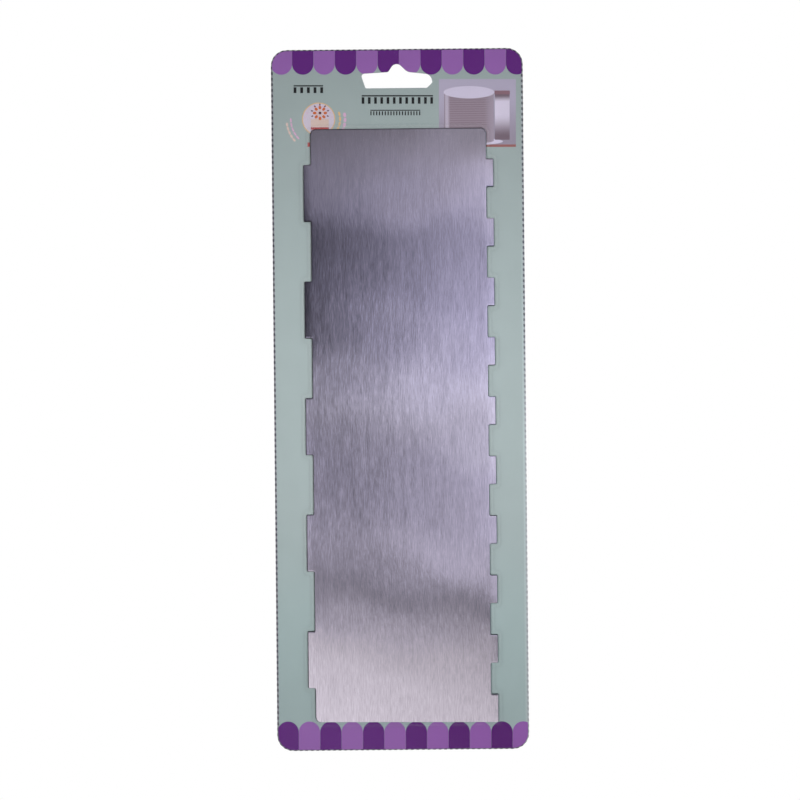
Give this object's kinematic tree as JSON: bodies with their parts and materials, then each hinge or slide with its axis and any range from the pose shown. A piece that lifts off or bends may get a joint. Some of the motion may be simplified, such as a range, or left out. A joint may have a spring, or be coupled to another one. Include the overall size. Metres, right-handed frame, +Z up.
{
  "type": "cake comb",
  "caption": "Flat stainless cake comb with square teeth on both long edges, carded under a clear skin film for a shop peg.",
  "frame": {"origin": "crown of the card's peg slot, at half the card's thickness, where the shop's peg bears", "axes": "+Z up along the card and the comb, -Y out of the printed front, +X to the viewer's right"},
  "size_m": [0.106, 0.0024, 0.295],
  "materials": {
    "printed_board": "matt coated board, sage green face and plain grey back",
    "brushed_steel": "stainless sheet brushed along its length",
    "clear_film": "clear formed skin film, glossy",
    "printing_ink": "flat printing ink on the card's face"
  },
  "bodies": {
    "card": {"backing_card": "printed_board"},
    "comb": {"cake_comb": "brushed_steel"},
    "film": {"skin_film": "clear_film"}
  },
  "joints": [
    {"name": "film_peel", "type": "hinge", "parent": "card", "child": "film", "pos_m": [0, -0.0006, -0.2887], "axis": [1, 0, 0], "range_deg": [0, 170]},
    {"name": "comb_lift", "type": "slide", "parent": "card", "child": "comb", "axis": [0, -1, 0], "range_m": [0, 0.03]}
  ],
  "couplings": [
    {"joint": "comb_lift", "follows": "film_peel", "m_per_rad": 0.0101}
  ]
}
